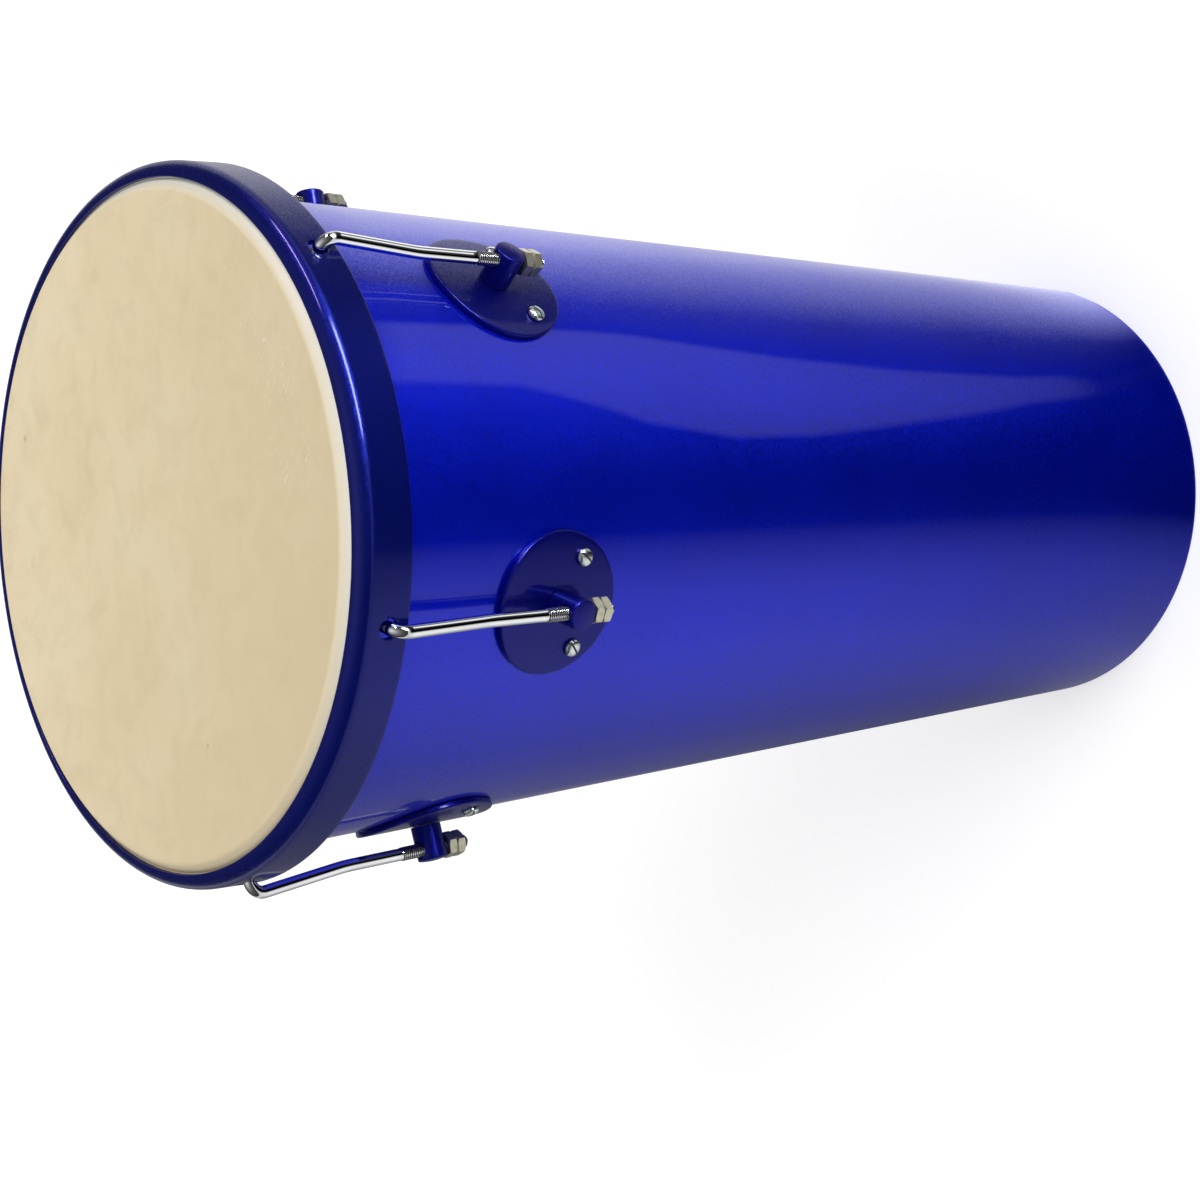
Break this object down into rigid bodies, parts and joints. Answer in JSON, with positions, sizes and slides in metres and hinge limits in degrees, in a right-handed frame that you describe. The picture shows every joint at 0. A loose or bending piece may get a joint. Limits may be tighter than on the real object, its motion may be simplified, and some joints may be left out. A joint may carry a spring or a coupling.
{
  "type": "rebolo drum",
  "caption": "Conical single-headed rebolo hand drum with a lacquered shell, hide head, pressed metal hoop, round lug plates and hooked tension rods.",
  "frame": {"origin": "centre of the open lower end, on the plane that it stands on", "axes": "+Z along the drum's axis towards the head; -Y points at lug 1; lugs 1 to 6 follow every 60 degrees, anticlockwise seen from above"},
  "size_m": [0.3014, 0.3158, 0.55],
  "materials": {
    "shell_lacquer": "clear gloss over metallic blue lacquer",
    "hide": "matt natural hide",
    "hoop_wire": "plain drawn wire",
    "navy_enamel": "gloss navy enamel",
    "hook_chrome": "mirror chrome",
    "nut_nickel": "dull nickel",
    "screw_zinc": "bright zinc"
  },
  "bodies": {
    "drum": {"shell": "shell_lacquer", "skin": "hide", "flesh_hoop": "hoop_wire", "lug_plate_1": "navy_enamel", "lug_plate_2": "navy_enamel", "lug_plate_3": "navy_enamel", "lug_plate_4": "navy_enamel", "lug_plate_5": "navy_enamel", "lug_plate_6": "navy_enamel", "lug_post_1": "navy_enamel", "lug_post_2": "navy_enamel", "lug_post_3": "navy_enamel", "lug_post_4": "navy_enamel", "lug_post_5": "navy_enamel", "lug_post_6": "navy_enamel", "lug_screw_1a": "screw_zinc", "lug_screw_1b": "screw_zinc", "lug_screw_2a": "screw_zinc", "lug_screw_2b": "screw_zinc", "lug_screw_3a": "screw_zinc", "lug_screw_3b": "screw_zinc", "lug_screw_4a": "screw_zinc", "lug_screw_4b": "screw_zinc", "lug_screw_5a": "screw_zinc", "lug_screw_5b": "screw_zinc", "lug_screw_6a": "screw_zinc", "lug_screw_6b": "screw_zinc", "shell_nut_1a": "screw_zinc", "shell_nut_1b": "screw_zinc", "shell_nut_2a": "screw_zinc", "shell_nut_2b": "screw_zinc", "shell_nut_3a": "screw_zinc", "shell_nut_3b": "screw_zinc", "shell_nut_4a": "screw_zinc", "shell_nut_4b": "screw_zinc", "shell_nut_5a": "screw_zinc", "shell_nut_5b": "screw_zinc", "shell_nut_6a": "screw_zinc", "shell_nut_6b": "screw_zinc"},
    "hoop": {"counter_hoop": "navy_enamel", "tension_hook_1": "hook_chrome", "tension_hook_2": "hook_chrome", "tension_hook_3": "hook_chrome", "tension_hook_4": "hook_chrome", "tension_hook_5": "hook_chrome", "tension_hook_6": "hook_chrome"},
    "tension_nut_1": {"tension_nut_1": "nut_nickel"},
    "tension_nut_2": {"tension_nut_2": "nut_nickel"},
    "tension_nut_3": {"tension_nut_3": "nut_nickel"},
    "tension_nut_4": {"tension_nut_4": "nut_nickel"},
    "tension_nut_5": {"tension_nut_5": "nut_nickel"},
    "tension_nut_6": {"tension_nut_6": "nut_nickel"},
    "lock_nut_1": {"lock_nut_1": "nut_nickel"},
    "lock_nut_2": {"lock_nut_2": "nut_nickel"},
    "lock_nut_3": {"lock_nut_3": "nut_nickel"},
    "lock_nut_4": {"lock_nut_4": "nut_nickel"},
    "lock_nut_5": {"lock_nut_5": "nut_nickel"},
    "lock_nut_6": {"lock_nut_6": "nut_nickel"}
  },
  "joints": [
    {"name": "hoop_lift", "type": "slide", "parent": "drum", "child": "hoop", "axis": [0, 0, 1], "range_m": [0, 0.003]},
    {"name": "tension_nut_1_turn", "type": "hinge", "parent": "drum", "child": "tension_nut_1", "pos_m": [0, -0.14684, 0.43242], "axis": [0, 0.0523, -0.9986], "range_deg": [0, 1080]},
    {"name": "tension_nut_2_turn", "type": "hinge", "parent": "drum", "child": "tension_nut_2", "pos_m": [0.12717, -0.07342, 0.43242], "axis": [-0.0453, 0.0261, -0.9986], "range_deg": [0, 1080]},
    {"name": "tension_nut_3_turn", "type": "hinge", "parent": "drum", "child": "tension_nut_3", "pos_m": [0.12717, 0.07342, 0.43242], "axis": [-0.0453, -0.0261, -0.9986], "range_deg": [0, 1080]},
    {"name": "tension_nut_4_turn", "type": "hinge", "parent": "drum", "child": "tension_nut_4", "pos_m": [0, 0.14684, 0.43242], "axis": [0, -0.0523, -0.9986], "range_deg": [0, 1080]},
    {"name": "tension_nut_5_turn", "type": "hinge", "parent": "drum", "child": "tension_nut_5", "pos_m": [-0.12717, 0.07342, 0.43242], "axis": [0.0453, -0.0261, -0.9986], "range_deg": [0, 1080]},
    {"name": "tension_nut_6_turn", "type": "hinge", "parent": "drum", "child": "tension_nut_6", "pos_m": [-0.12717, -0.07342, 0.43242], "axis": [0.0453, 0.0261, -0.9986], "range_deg": [0, 1080]},
    {"name": "lock_nut_1_turn", "type": "hinge", "parent": "tension_nut_1", "child": "lock_nut_1", "pos_m": [0, -0.14661, 0.42793], "axis": [0, 0.0523, -0.9986], "range_deg": [0, 90]},
    {"name": "lock_nut_2_turn", "type": "hinge", "parent": "tension_nut_2", "child": "lock_nut_2", "pos_m": [0.12697, -0.0733, 0.42793], "axis": [-0.0453, 0.0261, -0.9986], "range_deg": [0, 90]},
    {"name": "lock_nut_3_turn", "type": "hinge", "parent": "tension_nut_3", "child": "lock_nut_3", "pos_m": [0.12697, 0.0733, 0.42793], "axis": [-0.0453, -0.0261, -0.9986], "range_deg": [0, 90]},
    {"name": "lock_nut_4_turn", "type": "hinge", "parent": "tension_nut_4", "child": "lock_nut_4", "pos_m": [0, 0.14661, 0.42793], "axis": [0, -0.0523, -0.9986], "range_deg": [0, 90]},
    {"name": "lock_nut_5_turn", "type": "hinge", "parent": "tension_nut_5", "child": "lock_nut_5", "pos_m": [-0.12697, 0.0733, 0.42793], "axis": [0.0453, -0.0261, -0.9986], "range_deg": [0, 90]},
    {"name": "lock_nut_6_turn", "type": "hinge", "parent": "tension_nut_6", "child": "lock_nut_6", "pos_m": [-0.12697, -0.0733, 0.42793], "axis": [0.0453, 0.0261, -0.9986], "range_deg": [0, 90]}
  ],
  "couplings": [
    {"joint": "tension_nut_1_turn", "follows": "hoop_lift", "rad_per_m": 6283.2},
    {"joint": "tension_nut_2_turn", "follows": "hoop_lift", "rad_per_m": 6283.2},
    {"joint": "tension_nut_3_turn", "follows": "hoop_lift", "rad_per_m": 6283.2},
    {"joint": "tension_nut_4_turn", "follows": "hoop_lift", "rad_per_m": 6283.2},
    {"joint": "tension_nut_5_turn", "follows": "hoop_lift", "rad_per_m": 6283.2},
    {"joint": "tension_nut_6_turn", "follows": "hoop_lift", "rad_per_m": 6283.2}
  ]
}
